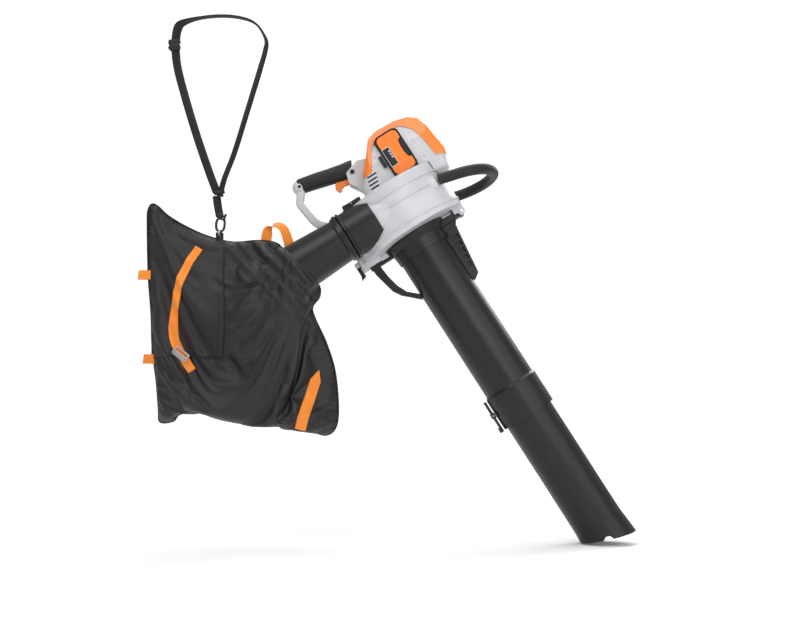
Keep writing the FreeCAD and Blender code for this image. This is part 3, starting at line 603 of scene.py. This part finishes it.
def press(obj):
    """Works the gathers, the fan of folds and the pucker into the settled cloth."""
    moves = []
    for vert in obj.data.vertices:
        point = Vector((vert.co.x, 0, vert.co.z))
        inward = (point - MOUTH_MIDDLE).dot(INTO_BAG)
        near = vert.normal.y < 0
        fan, gathers = gathered(point, NEAR_SEED if near else FAR_SEED, inward)
        lift = (6.5 * gathers + 4 * fan) * MM * eased(0.15, 0.6, abs(vert.normal.y))
        if near:
            offset = point - PUCKER
            across = offset.x * PUCKER_LEAN[0] + offset.z * PUCKER_LEAN[1]
            along = offset.x * PUCKER_LEAN[1] - offset.z * PUCKER_LEAN[0]
            spread = (across / PUCKER_HALF_WIDTH) ** 2 + (along / PUCKER_HALF_LENGTH) ** 2
            lift -= PUCKER_DEPTH * math.exp(-spread)
        moves.append(vert.normal * lift)
    for vert, move in zip(obj.data.vertices, moves):
        vert.co += move


def seen_tree(obj):
    """What a ray meets on a piece with its modifiers on."""
    bpy.context.view_layer.update()
    return BVHTree.FromObject(obj, bpy.context.evaluated_depsgraph_get())


def bag():
    """The stuffed bag, settled, gathered and given its wall, and its outline."""
    mesh, outline = bag_shell()
    made = finished(mesh, "bag_shell", bag_cloth)
    held = list(range(len(outline)))
    rim = [v.index for v in made.data.vertices
           if (Vector((v.co.x, 0, v.co.z)) - MOUTH_MIDDLE).dot(INTO_BAG) < 6 * MM]
    settle(made, held + rim, SETTLE_FRAMES)
    press(made)
    for polygon in made.data.polygons:
        polygon.use_smooth = True
    finer = made.modifiers.new("finer", "SUBSURF")
    finer.levels = 1
    finer.render_levels = 1
    wall = made.modifiers.new("wall", "SOLIDIFY")
    wall.thickness = 1.1 * MM
    wall.offset = -1
    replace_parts(made, "collecting_bag", "bag_cuff")
    return made, outline


bag_object, bag_edge = bag()
layers = [seen_tree(bag_object)]
edge_lines = list(zip(bag_edge, bag_edge[1:]))
middles = []
for edge_point in bag_edge:
    _, edge_middle, _, _ = bag_half(edge_point, edge_lines)
    middles.append(Vector((edge_point.x, edge_middle, edge_point.z)))
tube("bag_piping", middles[1:-1], 1.7 * MM, bag_cloth)


def on_bag(x, z, lift):
    """The place on the bag's near side under a point of the side view."""
    in_front = Vector((x, -1.0, z))
    found = [tree.ray_cast(in_front, Vector((0, 1, 0)))[0] for tree in layers]
    found = [spot.y for spot in found if spot]
    return Vector((x, (min(found) if found else BAG_MIDDLE) - lift, z))


def pocket_panel():
    """The pocket sewn over the rear half of the near side, with a free front edge and hem."""
    rear, front, low, high = -386 * MM, PANEL_SEAM, FLAP_SEAM, -186 * MM
    rear_rise = 52 * MM
    smoothings = 10
    step = SPACING * 0.8
    columns = round((front - rear) / step)
    rows = round((high - low) / step)
    grid = []
    for r in range(rows + 1):
        line = []
        sway = 3 * MM * math.sin(r / rows * 5.1)
        for c in range(columns + 1):
            x = rear + (front - rear) * c / columns + sway * c / columns
            z = low + (high - low + rear_rise * eased(0, 1, 1 - c / columns)) * r / rows
            dip = 4 * MM * math.sin(c / columns * 4) * (1 - r / rows)
            line.append(on_bag(x, z + dip, 0))
        grid.append(line)
    bare = [[spot.y for spot in line] for line in grid]
    for _ in range(smoothings):
        old = [[spot.y for spot in line] for line in grid]
        for r in range(1, rows):
            for c in range(1, columns):
                grid[r][c].y = (old[r - 1][c] + old[r + 1][c] + old[r][c - 1] + old[r][c + 1]) / 4
    for r, line in enumerate(grid):
        for c, spot in enumerate(line):
            tucked = min(eased(0, 0.10, c / columns), eased(0, 0.08, 1 - r / rows))
            free = min((1 - c / columns) * (front - rear), r / rows * (high - low))
            hem = math.exp(-((free - 6 * MM) / (3.5 * MM)) ** 2)
            level = min(spot.y, bare[r][c] - 1.2 * MM)
            spot.y = bare[r][c] + 1.5 * MM + (level - 1.4 * MM * hem - bare[r][c] - 1.5 * MM) * tucked
    mesh = bmesh.new()
    skin(mesh, grid, closed_rings=False)
    made = finished(mesh, "pocket_panel", bag_cloth)
    wall = made.modifiers.new("wall", "SOLIDIFY")
    wall.thickness = 1.4 * MM
    wall.offset = 0
    return made, [line[-1] for line in grid], grid[0]


panel, panel_front, panel_hem = pocket_panel()
layers.append(seen_tree(panel))
SEAM_OUT = Vector((0, -0.9 * MM, 0))
tube("panel_piping", [spot + SEAM_OUT for spot in panel_front], 1.5 * MM, bag_cloth)
tube("hem_piping", [spot + SEAM_OUT for spot in panel_hem], 1.3 * MM, bag_cloth)


def laid_band(name, line, width, thickness, taper=0):
    """An orange band sewn on the bag's near side along a line of the side view."""
    step = 4 * MM
    path = evenly(smooth_path([mm(x, 0, z) for x, z in line]), step)
    mesh = bmesh.new()
    rings = []
    for i, point in enumerate(path):
        tangent = (path[min(i + 1, len(path) - 1)] - path[max(i - 1, 0)]).normalized()
        side = Vector((tangent.z, 0, -tangent.x))
        narrow = min(1.0, 0.08 + i * step / taper) if taper else 1.0
        shares = (-0.5, -0.3, -0.1, 0.1, 0.3, 0.5)
        rings.append([on_bag(p.x, p.z, 0) for p in (point + side * (width * narrow * a) for a in shares)])
    bare = [[spot.y for spot in ring] for ring in rings]
    for i, ring in enumerate(rings):
        near = bare[max(0, i - 3):i + 4]
        for k, spot in enumerate(ring):
            level = sum(row[k] for row in near) / len(near)
            spot.y = min(level, bare[i][k]) - thickness - 0.4 * MM
    rings = [ring + [spot + Vector((0, thickness, 0)) for spot in reversed(ring)] for ring in rings]
    skin(mesh, rings)
    finished(mesh, name, orange_webbing)


STRAP_LINE = [(-279, -181), (-299, -215), (-321, -268), (-332, -330), (-330, -382), (-318, -412),
              (-310, -426)]
TAIL_LINE = [(-310, -424), (-302, -438), (-288, -458)]
CORNER_LINE = [(-9, -456), (-22, -500), (-47, -588)]
laid_band("front_strap", STRAP_LINE, 19 * MM, 1.8 * MM)
laid_band("front_strap_tail", TAIL_LINE, 19 * MM, 1.8 * MM)
laid_band("corner_band", CORNER_LINE, 24 * MM, 1.2 * MM, taper=26 * MM)


def cam_buckle():
    """A wire frame with a pressed lever, lying aslant on the strap."""
    middle = on_bag(-313 * MM, -421 * MM, 9 * MM)
    turn = math.radians(38)
    half_width = 17 * MM
    half_height = 9 * MM
    ahead = Vector((math.cos(turn), 0, -math.sin(turn)))
    up = Vector((math.sin(turn), 0, math.cos(turn)))
    clipped = ((-1, -0.8), (-0.9, -1), (0.9, -1), (1, -0.8), (1, 0.8), (0.9, 1), (-0.9, 1), (-1, 0.8))
    corners = [middle + ahead * (a * half_width) + up * (b * half_height) for a, b in clipped]
    tube("buckle_frame", smooth_path(corners, 4, True), 1.7 * MM, bright_steel, closed=True)
    tube("buckle_bar", [middle - ahead * half_width, middle + ahead * half_width], 1.6 * MM, bright_steel)
    block("buckle_lever", middle - up * 4 * MM - mm(0, 1.5, 0), mm(28, 2, 8), bright_steel, turn, 0.7 * MM)


cam_buckle()


def edge_tab(name, height):
    """A folded webbing tab sewn into the bag's rear edge."""
    rear = min((p for p in middles if p.x < PANEL_SEAM), key=lambda p: abs(p.z - height))
    fold = [(6, -3), (-14, -3), (-19, -3), (-22, 0), (-19, 3), (-14, 3), (6, 3)]
    path = smooth_path([rear + mm(x, y, 0) for x, y in fold], 6)
    upright = [Vector((0.1, 0, 1))] * len(path)
    return band(name, path, upright, 21 * MM, 1.8 * MM, orange_webbing)


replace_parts(edge_tab("upper_tab", -238 * MM), "side_tabs")
edge_tab("lower_tab", -428 * MM)


def carry_loop():
    """An arch of webbing over the bag's top, in front of the strap."""
    line = [(-131, -178), (-130, -154), (-124, -136), (-107, -127), (-92, -135), (-83, -156), (-76, -182)]
    ways = [(1, 0.3, 0), (1, 0.3, 0), (0.9, 0.6, 0.3), (0.2, 0.8, 0.7), (0.5, 0.6, 0.7), (0.9, 0.5, 0.3),
            (1, 0.4, 0.2)]
    path = smooth_path([Vector((x * MM, BAG_MIDDLE, z * MM)) for x, z in line])
    across = smooth_path([Vector(way) for way in ways])
    return band("carry_arch", path, across, 24 * MM, 1.8 * MM, orange_webbing)


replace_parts(carry_loop(), "carry_loop")


# ---------------------------------------------------------------- shoulder strap
def shoulder_strap():
    """One length of webbing from the hook up, over and back, turned as it goes."""
    rising = [(-244, -52), (-262, -5), (-290, 75), (-318, 165), (-338, 240), (-343, 292), (-338, 331),
              (-322, 345), (-284, 355)]
    falling = [(-235, 357), (-190, 352), (-158, 338), (-138, 308), (-135, 283), (-150, 225), (-176, 135),
               (-204, 40), (-226, -20), (-236, -60)]
    faces = [0.55] * 7 + [0.25] + [0.0] * 4 + [0.2, 0.45] + [0.5] * 5
    apart = 3 * MM
    steps = 10
    points = [Vector((x * MM, BAG_MIDDLE + apart, z * MM)) for x, z in rising]
    points += [Vector((x * MM, BAG_MIDDLE - apart, z * MM)) for x, z in falling]
    path = smooth_path(points, steps)
    across = []
    for i in range(len(path)):
        place = i / steps
        low = min(int(place), len(faces) - 1)
        high = min(low + 1, len(faces) - 1)
        flatness = faces[low] + (faces[high] - faces[low]) * (place - low)
        tangent = (path[min(i + 1, len(path) - 1)] - path[max(i - 1, 0)]).normalized()
        in_view = Vector((tangent.z, 0, -tangent.x))
        across.append((in_view * flatness + Vector((0, 1 - flatness, 0))).normalized())
    strap = band("shoulder_webbing", path, across, 22 * MM, 2.2 * MM, webbing)
    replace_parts(strap, "shoulder_strap", "strap_buckle", "snap_hook", "strap_tab")


shoulder_strap()


def strap_slide():
    """The length adjuster on the strap's rear run, with its two bars."""
    middle = Vector((-345 * MM, BAG_MIDDLE, 290 * MM))
    tilt = math.radians(-8)
    block("strap_slide", middle, mm(25, 12, 27), dark, tilt, 4 * MM)
    for name, rise in (("upper_bar", 6), ("lower_bar", -6)):
        block(f"strap_slide_{name}", middle + mm(0, 0, rise), mm(28, 15, 3.5), dark, tilt, 1.4 * MM)


strap_slide()


def hook_set():
    """The adjuster, swivel hook and sewn tab between the strap and the bag."""
    top = Vector((-240 * MM, BAG_MIDDLE, -52 * MM))
    foot = Vector((-236 * MM, BAG_MIDDLE, -158 * MM))
    tilt = math.radians(-12)
    block("adjuster", top + mm(2, 0, 0), mm(25, 11, 9), dark, tilt, 3 * MM)
    block("adjuster_bar", top + mm(1, 0, -9), mm(22, 8, 4), dark, tilt, 1.6 * MM)
    path = smooth_path([top + mm(-4, 0, -8), top + mm(-1, 2, -32), foot + mm(0, 2, 50)], 6)
    band("hook_webbing", path, [Vector((0.8, 0.5, 0))] * len(path), 20 * MM, 2.2 * MM, webbing)
    block("hook_swivel", foot + mm(0, 0, 53), mm(16, 12, 12), dark, 0.0, 4 * MM)
    hook = [(-4, 46), (-8, 36), (-7, 22), (1, 16), (9, 22), (11, 36), (10, 47), (14, 56)]
    tube("hook_bow", smooth_path([foot + mm(x, 0, z) for x, z in hook], 6), 2.8 * MM, dark)
    tube("hook_gate", [foot + mm(-3, 0, 47), foot + mm(11, -1, 42)], 2.4 * MM, dark)
    ring_middle, ring_wide, ring_tall, ring_steps = 12, 12, 7, 20
    ring = [foot + mm(0, ring_wide * math.sin(a), ring_middle + ring_tall * math.cos(a))
            for a in (2 * math.pi * k / ring_steps for k in range(ring_steps))]
    tube("bag_ring", ring, 1.8 * MM, bright_steel, closed=True)
    tab = smooth_path([foot + mm(0, 0, 14), foot, foot + mm(0, 0, -18)], 6)
    band("hook_tab", tab, [Vector((0.75, 0.5, 0))] * len(tab), 19 * MM, 2.6 * MM, webbing)


hook_set()


# ---------------------------------------------------------------- moulded details on the machine
def outlined(name, outline, near, far, material, body="machine", bevel=1.2 * MM, centre=(0, 0)):
    """A plate whose outline is given in millimetres ahead of and up the tube's axis."""
    mesh = bmesh.new()
    rings = []
    for y in (near, far):
        rings.append([machine((centre[0] + u) * MM, y * MM, (centre[1] + w) * MM) for u, w in outline])
    skin(mesh, rings)
    return finished(mesh, name, material, body, bevel)


def rounded(half_width, half_height, radius, steps=5):
    """A rounded rectangle's outline about its middle."""
    made = []
    for quarter, (a, b) in enumerate(((1, 1), (-1, 1), (-1, -1), (1, -1))):
        for i in range(steps + 1):
            angle = math.pi / 2 * (quarter + i / steps)
            made.append((a * (half_width - radius) + radius * math.cos(angle),
                         b * (half_height - radius) + radius * math.sin(angle)))
    return made


def battery_details():
    """The battery's outer face: orange shell, black rim, grip recess and a plain label window."""
    low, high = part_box("battery_cap")
    centre = (low + high) / 2 - MACHINE_ORIGIN
    middle = (centre.dot(AHEAD) / MM, centre.dot(TUBE_UP) / MM)
    out = low.y / MM
    half_w, half_h, corner, rim_inset = 28, 50, 11, 1.6
    shell = rounded(half_w - rim_inset, half_h - rim_inset, corner)
    left = [p for p in shell if p[0] < 0]
    right_up = [p for p in shell if p[0] > 0 and p[1] > 0]
    right_low = [p for p in shell if p[0] > 0 and p[1] < 0]
    recess = [(26.4, -25), (19, -22), (16.5, -8), (16.5, 8), (19, 22), (26.4, 25)]
    face = right_up + left + right_low + recess
    made = outlined("battery_face", face, out - 1.2, out + 11, cap_orange, "battery", 1.6 * MM, middle)
    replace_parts(made, "battery_cap")
    outlined("battery_skirt", rounded(half_w, half_h, corner), out + 1.4, out + 12, dark, "battery",
             0.8 * MM, middle)
    rim = [machine((middle[0] + u) * MM, (out + 0.6) * MM, (middle[1] + w) * MM)
           for u, w in rounded(half_w + 0.4, half_h + 0.4, corner, 8)]
    tube("battery_rim", rim, 2.1 * MM, black, "battery", closed=True)
    lens = [(18, 21), (25, 23), (28.5, 16), (30, 0), (28.5, -16), (25, -23), (18, -21), (17.5, 0)]
    outlined("battery_hold", lens, out - 1.0, out + 6, dark, "battery", 1.4 * MM, middle)
    window = [(-25, 19), (-9, 19), (-9, -24), (-25, -24)]
    border = [(-26.2, 20.4), (-7.8, 20.4), (-7.8, -25.4), (-26.2, -25.4)]
    outlined("label_border", border, out - 1.7, out, silver_grey, "battery", 0.3 * MM, middle)
    outlined("label_window", window, out - 2.2, out - 1, dark, "battery", 0.3 * MM, middle)
    for number, level in enumerate((12, 5, -2)):
        mark = [(-13.5, level), (-10.5, level), (-10.5, level - 5), (-13.5, level - 5)]
        outlined(f"label_mark_{number}", mark, out - 2.5, out - 2, silver_grey, "battery", 0.1 * MM, middle)
    for number, side in enumerate((1, -1)):
        stop = [(-31, side * 24), (-25, side * 27), (-25, side * 21), (-31, side * 19)]
        outlined(f"battery_stop_{number}", stop, out - 1.0, out + 6, dark, "battery", 0.8 * MM, middle)


cap_orange = moulded("battery_orange", (0.90, 0.20, 0.012), 0.34, coat=0.2)
silver_grey = moulded("silver_grey", (0.55, 0.55, 0.56), 0.35)
battery_details()


def grip_cover():
    """The soft grip from the rear corner to the slanted edge of the neck."""
    stations = [(-166, 188.5, 13, 13), (-164, 188, 16.5, 16), (-150, 184.5, 17.5, 17),
                (-120, 177.5, 18.2, 17), (-90, 169.5, 18.4, 17), (-64, 162.5, 19, 17.5),
                (-44, 158.5, 19.5, 18), (-38, 157.5, 18.5, 17)]
    sides = 28
    squareness = 0.8
    mesh = bmesh.new()
    rings = []
    for u, w, tall, wide in stations:
        ring = []
        for k in range(sides):
            angle = 2 * math.pi * k / sides
            rise = math.copysign(abs(math.sin(angle)) ** squareness, math.sin(angle)) * tall
            side = math.copysign(abs(math.cos(angle)) ** squareness, math.cos(angle)) * wide
            lean = rise * (0.28 + 0.3 * eased(-90, -40, u))
            ring.append(machine((u + lean) * MM, side * MM, (w + rise) * MM))
        rings.append(ring)
    skin(mesh, rings)
    made = finished(mesh, "grip_cover", grip_rubber, bevel=2 * MM)
    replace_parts(made, "grip_sleeve")


grip_cover()

TRIGGER_OUTLINE = [(-89, 147), (-94, 141), (-95, 134), (-92, 127), (-88, 124), (-85, 126), (-80, 131),
                   (-74, 132), (-66, 130), (-58, 128), (-55, 132), (-56, 144), (-60, 152), (-72, 155),
                   (-82, 153)]
lever = outlined("finger_lever", TRIGGER_OUTLINE, -7, 7, cover, "trigger", 2.2 * MM)
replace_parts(lever, "trigger")

WEB_OUTLINE = [(54, -66), (64, -62), (88, -56), (112, -60), (104, -70), (95, -84), (90, -100), (78, -190),
               (72, -200), (62, -204), (61, -120), (62, -84)]
outlined("rail_web", WEB_OUTLINE, -3.5, 3.5, black, "tube", 1.0 * MM)

LATCH_BOX = [(-118, 60), (-72, 60), (-70, 64), (-72, 69.5), (-112, 69.5), (-117, 66)]
outlined("latch_box", LATCH_BOX, -96, -66, black, bevel=1.6 * MM)
outlined("latch_mark", [(-109.5, 77.5), (-99, 77.5), (-99.5, 80), (-108, 80)], -90, -72, cap_orange,
         "outlet_latch", 0.8 * MM)

GUARD_OUTLINE = [(-123, -61), (-123, -81), (-117, -108), (-111, -134), (-99, -154), (-83, -169),
                 (-62, -189), (-61, -174), (-70, -166), (-84, -153), (-95, -129), (-101, -101),
                 (-103, -80), (-104, -62)]
bow = outlined("guard_bow", GUARD_OUTLINE, -8, 8, black, "tube", 2.5 * MM)
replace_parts(bow, "loop_guard")


# ---------------------------------------------------------------- stage, lights and camera
def plain(name, colour, roughness, glow):
    """A studio sweep, lifted to white where the camera sees it, and less so near the object."""
    made = Nodes(name)
    tint = made.ramp(made.noise(0.6, 2), (0.3, scaled(colour, 0.99)), (0.7, scaled(colour, 1.01)))
    made.link(tint, made.shader.inputs["Base Color"])
    made.shader.inputs["Roughness"].default_value = roughness
    seen = made.add("ShaderNodeLightPath").outputs["Is Camera Ray"]
    made.shader.inputs["Emission Color"].default_value = (1, 1, 1, 1)
    place = made.add("ShaderNodeSeparateXYZ")
    made.link(made.coordinates, place.inputs["Vector"])
    behind = made.add("ShaderNodeMapRange")
    behind.inputs["From Min"].default_value = 0.3
    behind.inputs["From Max"].default_value = 3.5
    behind.inputs["To Min"].default_value = glow * 0.15
    behind.inputs["To Max"].default_value = glow
    made.link(place.outputs["Y"], behind.inputs["Value"])
    strength = made.math("MULTIPLY", seen, behind.outputs["Result"])
    made.link(strength, made.shader.inputs["Emission Strength"])
    return made.material


def backdrop():
    """A floor that curves up into a wall behind."""
    floor_level = cad_box[0][2] - 0.002
    mesh = bpy.data.meshes.new("backdrop")
    front, rear, bend, wall_top, half_width = -9, 5, 3, 12, 14
    profile = [(front, 0), (rear, 0)]
    for i in range(1, 13):
        angle = i * math.pi / 24
        profile.append((rear + bend * math.sin(angle), bend - bend * math.cos(angle)))
    profile.append((rear + bend, wall_top))
    sheet = bmesh.new()
    rows = []
    for y, z in profile:
        rows.append([sheet.verts.new((x, y, floor_level + z)) for x in (-half_width, half_width)])
    for low, high in zip(rows, rows[1:]):
        sheet.faces.new((low[0], low[1], high[1], high[0])).smooth = True
    sheet.to_mesh(mesh)
    obj = bpy.data.objects.new("backdrop", mesh)
    bpy.context.scene.collection.objects.link(obj)
    mesh.materials.append(plain("backdrop_white", (0.9, 0.9, 0.905), 0.9, 0.62))


def area_light(name, place, target, size, watts):
    """A square lamp at a place, turned to its target."""
    light = bpy.data.lights.new(name, "AREA")
    light.size = size
    light.energy = watts
    obj = bpy.data.objects.new(name, light)
    obj.location = place
    obj.rotation_euler = (Vector(target) - Vector(place)).to_track_quat("-Z", "Y").to_euler()
    bpy.context.scene.collection.objects.link(obj)


def camera():
    """Level with the nozzle's upper half, looking a little upwards along +Y."""
    data = bpy.data.cameras.new("camera")
    data.sensor_width = 36
    data.lens = 51.93
    obj = bpy.data.objects.new("camera", data)
    obj.location = (0.172, -2.65, -0.546)
    obj.rotation_euler = (math.radians(90 + 4.5), 0, 0)
    bpy.context.scene.collection.objects.link(obj)
    bpy.context.scene.camera = obj


backdrop()
area_light("key", (-1.2, -2.6, 2.4), (0.1, 0, -0.2), 2.2, 50)
area_light("fill", (2.6, -2.2, 0.8), (0.1, 0, -0.3), 2.6, 28)
area_light("top", (0.2, 0.6, 3.0), (0.1, 0, -0.3), 2.6, 60)
area_light("strip", (1.0, -2.5, 0.3), (0.45, 0, -0.5), 1.2, 13)
area_light("rim", (1.6, 2.2, 1.4), (0.1, 0, -0.2), 1.6, 34)
world = bpy.data.worlds.new("world")
bpy.context.scene.world = world
world.use_nodes = True
world.node_tree.nodes["Background"].inputs["Color"].default_value = (0.97, 0.98, 1.0, 1)
world.node_tree.nodes["Background"].inputs["Strength"].default_value = 0.42
bpy.context.scene.view_settings.view_transform = "Standard"
camera()
